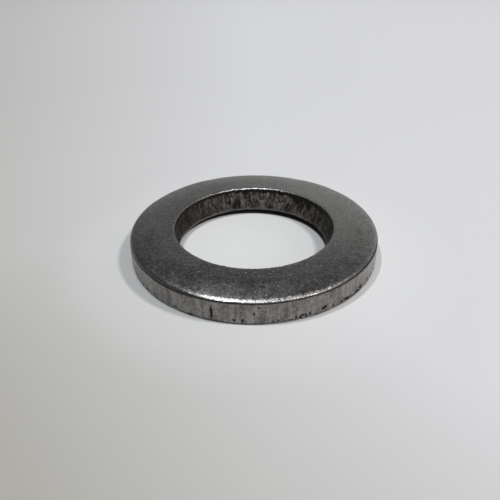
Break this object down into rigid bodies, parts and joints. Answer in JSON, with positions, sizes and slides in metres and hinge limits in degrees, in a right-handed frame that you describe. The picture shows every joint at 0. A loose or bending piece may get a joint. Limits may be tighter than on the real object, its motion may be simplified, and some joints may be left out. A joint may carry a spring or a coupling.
{
  "type": "flat washer",
  "caption": "Plain round steel washer, punched from plate: it spreads the load of a pin, bolt or stud and spaces it off a face.",
  "frame": {"origin": "centre of the lower face, on the hole's axis", "axes": "+Z along the hole's axis, from the lower face up to the face with the rolled outer edge"},
  "size_m": [0.034, 0.034, 0.004],
  "materials": {
    "steel": "dark self-coloured steel, oiled, satin, with brighter sheared and rolled edges"
  },
  "bodies": {
    "root": {"washer": "steel"}
  },
  "joints": []
}
